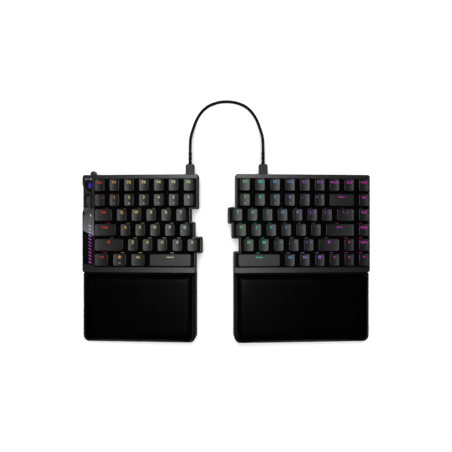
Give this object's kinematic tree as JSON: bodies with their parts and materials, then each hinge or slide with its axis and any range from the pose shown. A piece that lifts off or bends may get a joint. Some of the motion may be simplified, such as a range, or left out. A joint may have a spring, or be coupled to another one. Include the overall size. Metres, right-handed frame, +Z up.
{
  "type": "split keyboard",
  "caption": "Split mechanical keyboard: two tented halves with stepped inner edges, a control wheel and light bars, joined by a cable, each with a padded wrist rest.",
  "frame": {"origin": "on the desk, under the middle of the two halves with their wrist rests", "axes": "+X to the user's right along the key rows, +Y away from the user, +Z up"},
  "size_m": [0.3762, 0.3187, 0.041],
  "materials": {
    "arrow_keys": "matte, translucent legends",
    "backslash_key": "matte, translucent legends",
    "backspace_key": "matte, translucent legends",
    "bridge_cable": "braided",
    "caps_key": "matte, translucent legends",
    "control_wheel": "ribbed",
    "enter_key": "matte, translucent legends",
    "escape_key": "matte, translucent legends",
    "left_battery": "foil pouch",
    "left_bottom_case": "fine matte texture",
    "left_case_screws": "black",
    "left_circuit_board": "solder mask",
    "left_function_keys": "matte, translucent legends",
    "left_gloss_panel": "gloss",
    "left_home_keys": "matte, translucent legends",
    "left_host_port": "plated",
    "left_light_bar": "lit diffuser",
    "left_link_port": "plated",
    "left_lower_keys": "matte, translucent legends",
    "left_modifier_keys": "matte, translucent legends",
    "left_number_keys": "matte, translucent legends",
    "left_plug": "moulded",
    "left_rubber_feet": "rubber",
    "left_shift_key": "matte, translucent legends",
    "left_side_panel": "fine matte",
    "left_space_key": "matte, translucent legends",
    "left_stabilisers": "moulded",
    "left_switch_plate": "black coated",
    "left_switches": "moulded",
    "left_tilt_foot": "moulded",
    "left_top_frame": "fine matte texture",
    "left_upper_keys": "matte, translucent legends",
    "left_wrist_base": "moulded",
    "left_wrist_pad": "soft matte",
    "mode_lever": "moulded",
    "navigation_keys": "matte, translucent legends",
    "right_bottom_case": "fine matte texture",
    "right_case_screws": "black",
    "right_circuit_board": "solder mask",
    "right_function_keys": "matte, translucent legends",
    "right_home_keys": "matte, translucent legends",
    "right_link_port": "plated",
    "right_lower_keys": "matte, translucent legends",
    "right_modifier_keys": "matte, translucent legends",
    "right_number_keys": "matte, translucent legends",
    "right_plug": "moulded",
    "right_rubber_feet": "rubber",
    "right_shift_key": "matte, translucent legends",
    "right_space_key": "matte, translucent legends",
    "right_stabilisers": "moulded",
    "right_switch_plate": "black coated",
    "right_switches": "moulded",
    "right_tilt_foot": "moulded",
    "right_top_frame": "fine matte texture",
    "right_upper_keys": "matte, translucent legends",
    "right_wrist_base": "moulded",
    "right_wrist_pad": "soft matte",
    "tab_key": "matte, translucent legends",
    "wheel_encoder": "moulded and steel"
  },
  "bodies": {
    "left_half": {"left_top_frame": "left_top_frame", "left_bottom_case": "left_bottom_case", "left_switch_plate": "left_switch_plate", "left_circuit_board": "left_circuit_board", "left_switches": "left_switches", "left_stabilisers": "left_stabilisers", "left_side_panel": "left_side_panel", "left_gloss_panel": "left_gloss_panel", "left_light_bar": "left_light_bar", "left_battery": "left_battery", "left_link_port": "left_link_port", "left_host_port": "left_host_port", "left_rubber_feet": "left_rubber_feet", "left_case_screws": "left_case_screws", "wheel_encoder": "wheel_encoder", "bridge_cable": "bridge_cable", "left_plug": "left_plug"},
    "right_half": {"right_top_frame": "right_top_frame", "right_bottom_case": "right_bottom_case", "right_switch_plate": "right_switch_plate", "right_circuit_board": "right_circuit_board", "right_switches": "right_switches", "right_stabilisers": "right_stabilisers", "right_link_port": "right_link_port", "right_rubber_feet": "right_rubber_feet", "right_case_screws": "right_case_screws", "right_plug": "right_plug"},
    "control_wheel": {"control_wheel": "control_wheel"},
    "mode_lever": {"mode_lever": "mode_lever"},
    "left_tilt_foot": {"left_tilt_foot": "left_tilt_foot"},
    "right_tilt_foot": {"right_tilt_foot": "right_tilt_foot"},
    "left_wrist_rest": {"left_wrist_base": "left_wrist_base", "left_wrist_pad": "left_wrist_pad"},
    "right_wrist_rest": {"right_wrist_base": "right_wrist_base", "right_wrist_pad": "right_wrist_pad"},
    "escape_key": {"escape_key": "escape_key"},
    "left_function_keys": {"left_function_keys": "left_function_keys"},
    "left_number_keys": {"left_number_keys": "left_number_keys"},
    "tab_key": {"tab_key": "tab_key"},
    "left_upper_keys": {"left_upper_keys": "left_upper_keys"},
    "caps_key": {"caps_key": "caps_key"},
    "left_home_keys": {"left_home_keys": "left_home_keys"},
    "left_shift_key": {"left_shift_key": "left_shift_key"},
    "left_lower_keys": {"left_lower_keys": "left_lower_keys"},
    "left_modifier_keys": {"left_modifier_keys": "left_modifier_keys"},
    "left_space_key": {"left_space_key": "left_space_key"},
    "right_function_keys": {"right_function_keys": "right_function_keys"},
    "right_number_keys": {"right_number_keys": "right_number_keys"},
    "backspace_key": {"backspace_key": "backspace_key"},
    "right_upper_keys": {"right_upper_keys": "right_upper_keys"},
    "backslash_key": {"backslash_key": "backslash_key"},
    "right_home_keys": {"right_home_keys": "right_home_keys"},
    "enter_key": {"enter_key": "enter_key"},
    "right_lower_keys": {"right_lower_keys": "right_lower_keys"},
    "right_shift_key": {"right_shift_key": "right_shift_key"},
    "arrow_keys": {"arrow_keys": "arrow_keys"},
    "navigation_keys": {"navigation_keys": "navigation_keys"},
    "right_space_key": {"right_space_key": "right_space_key"},
    "right_modifier_keys": {"right_modifier_keys": "right_modifier_keys"}
  },
  "joints": [
    {"name": "halves_spacing", "type": "slide", "parent": "left_half", "child": "right_half", "axis": [1, 0, 0], "range_m": [-0.036, 0.05], "deforming": ["bridge_cable"]},
    {"name": "escape_key_press", "type": "slide", "parent": "left_half", "child": "escape_key", "axis": [0.0698, 0, -0.9976], "range_m": [0, 0.0035], "stiffness_N_per_m": 120, "springref_m": -0.0025},
    {"name": "left_function_keys_press", "type": "slide", "parent": "left_half", "child": "left_function_keys", "axis": [0.0698, 0, -0.9976], "range_m": [0, 0.0035], "stiffness_N_per_m": 720, "springref_m": -0.0025},
    {"name": "left_number_keys_press", "type": "slide", "parent": "left_half", "child": "left_number_keys", "axis": [0.0698, 0, -0.9976], "range_m": [0, 0.0035], "stiffness_N_per_m": 840, "springref_m": -0.0025},
    {"name": "tab_key_press", "type": "slide", "parent": "left_half", "child": "tab_key", "axis": [0.0698, 0, -0.9976], "range_m": [0, 0.0035], "stiffness_N_per_m": 120, "springref_m": -0.0025},
    {"name": "left_upper_keys_press", "type": "slide", "parent": "left_half", "child": "left_upper_keys", "axis": [0.0698, 0, -0.9976], "range_m": [0, 0.0035], "stiffness_N_per_m": 600, "springref_m": -0.0025},
    {"name": "caps_key_press", "type": "slide", "parent": "left_half", "child": "caps_key", "axis": [0.0698, 0, -0.9976], "range_m": [0, 0.0035], "stiffness_N_per_m": 120, "springref_m": -0.0025},
    {"name": "left_home_keys_press", "type": "slide", "parent": "left_half", "child": "left_home_keys", "axis": [0.0698, 0, -0.9976], "range_m": [0, 0.0035], "stiffness_N_per_m": 600, "springref_m": -0.0025},
    {"name": "left_shift_key_press", "type": "slide", "parent": "left_half", "child": "left_shift_key", "axis": [0.0698, 0, -0.9976], "range_m": [0, 0.0035], "stiffness_N_per_m": 120, "springref_m": -0.0025},
    {"name": "left_lower_keys_press", "type": "slide", "parent": "left_half", "child": "left_lower_keys", "axis": [0.0698, 0, -0.9976], "range_m": [0, 0.0035], "stiffness_N_per_m": 600, "springref_m": -0.0025},
    {"name": "left_modifier_keys_press", "type": "slide", "parent": "left_half", "child": "left_modifier_keys", "axis": [0.0698, 0, -0.9976], "range_m": [0, 0.0035], "stiffness_N_per_m": 360, "springref_m": -0.0025},
    {"name": "left_space_key_press", "type": "slide", "parent": "left_half", "child": "left_space_key", "axis": [0.0698, 0, -0.9976], "range_m": [0, 0.0035], "stiffness_N_per_m": 120, "springref_m": -0.0025},
    {"name": "right_function_keys_press", "type": "slide", "parent": "right_half", "child": "right_function_keys", "axis": [-0.0698, 0, -0.9976], "range_m": [0, 0.0035], "stiffness_N_per_m": 1080, "springref_m": -0.0025},
    {"name": "right_number_keys_press", "type": "slide", "parent": "right_half", "child": "right_number_keys", "axis": [-0.0698, 0, -0.9976], "range_m": [0, 0.0035], "stiffness_N_per_m": 720, "springref_m": -0.0025},
    {"name": "backspace_key_press", "type": "slide", "parent": "right_half", "child": "backspace_key", "axis": [-0.0698, 0, -0.9976], "range_m": [0, 0.0035], "stiffness_N_per_m": 120, "springref_m": -0.0025},
    {"name": "right_upper_keys_press", "type": "slide", "parent": "right_half", "child": "right_upper_keys", "axis": [-0.0698, 0, -0.9976], "range_m": [0, 0.0035], "stiffness_N_per_m": 840, "springref_m": -0.0025},
    {"name": "backslash_key_press", "type": "slide", "parent": "right_half", "child": "backslash_key", "axis": [-0.0698, 0, -0.9976], "range_m": [0, 0.0035], "stiffness_N_per_m": 120, "springref_m": -0.0025},
    {"name": "right_home_keys_press", "type": "slide", "parent": "right_half", "child": "right_home_keys", "axis": [-0.0698, 0, -0.9976], "range_m": [0, 0.0035], "stiffness_N_per_m": 720, "springref_m": -0.0025},
    {"name": "enter_key_press", "type": "slide", "parent": "right_half", "child": "enter_key", "axis": [-0.0698, 0, -0.9976], "range_m": [0, 0.0035], "stiffness_N_per_m": 120, "springref_m": -0.0025},
    {"name": "right_lower_keys_press", "type": "slide", "parent": "right_half", "child": "right_lower_keys", "axis": [-0.0698, 0, -0.9976], "range_m": [0, 0.0035], "stiffness_N_per_m": 600, "springref_m": -0.0025},
    {"name": "right_shift_key_press", "type": "slide", "parent": "right_half", "child": "right_shift_key", "axis": [-0.0698, 0, -0.9976], "range_m": [0, 0.0035], "stiffness_N_per_m": 120, "springref_m": -0.0025},
    {"name": "arrow_keys_press", "type": "slide", "parent": "right_half", "child": "arrow_keys", "axis": [-0.0698, 0, -0.9976], "range_m": [0, 0.0035], "stiffness_N_per_m": 480, "springref_m": -0.0025},
    {"name": "navigation_keys_press", "type": "slide", "parent": "right_half", "child": "navigation_keys", "axis": [-0.0698, 0, -0.9976], "range_m": [0, 0.0035], "stiffness_N_per_m": 480, "springref_m": -0.0025},
    {"name": "right_space_key_press", "type": "slide", "parent": "right_half", "child": "right_space_key", "axis": [-0.0698, 0, -0.9976], "range_m": [0, 0.0035], "stiffness_N_per_m": 120, "springref_m": -0.0025},
    {"name": "right_modifier_keys_press", "type": "slide", "parent": "right_half", "child": "right_modifier_keys", "axis": [-0.0698, 0, -0.9976], "range_m": [0, 0.0035], "stiffness_N_per_m": 360, "springref_m": -0.0025},
    {"name": "wheel_turn", "type": "hinge", "parent": "left_half", "child": "control_wheel", "pos_m": [-0.17762, 0.0717, 0.01363], "axis": [0.9976, 0, 0.0698], "continuous": true},
    {"name": "mode_slide", "type": "slide", "parent": "left_half", "child": "mode_lever", "axis": [0.9976, 0, 0.0698], "range_m": [-0.0015, 0.0015]},
    {"name": "left_foot_fold", "type": "hinge", "parent": "left_half", "child": "left_tilt_foot", "pos_m": [-0.05806, 0.04395, 0.01201], "axis": [0, 1, 0], "range_deg": [0, 94]},
    {"name": "right_foot_fold", "type": "hinge", "parent": "right_half", "child": "right_tilt_foot", "pos_m": [0.0294, 0.04395, 0.01504], "axis": [0, -1, 0], "range_deg": [0, 94]},
    {"name": "left_rest_slide", "type": "slide", "parent": "left_half", "child": "left_wrist_rest", "axis": [0, -1, 0], "range_m": [0, 0.06]},
    {"name": "right_rest_slide", "type": "slide", "parent": "right_half", "child": "right_wrist_rest", "axis": [0, -1, 0], "range_m": [0, 0.06]}
  ]
}
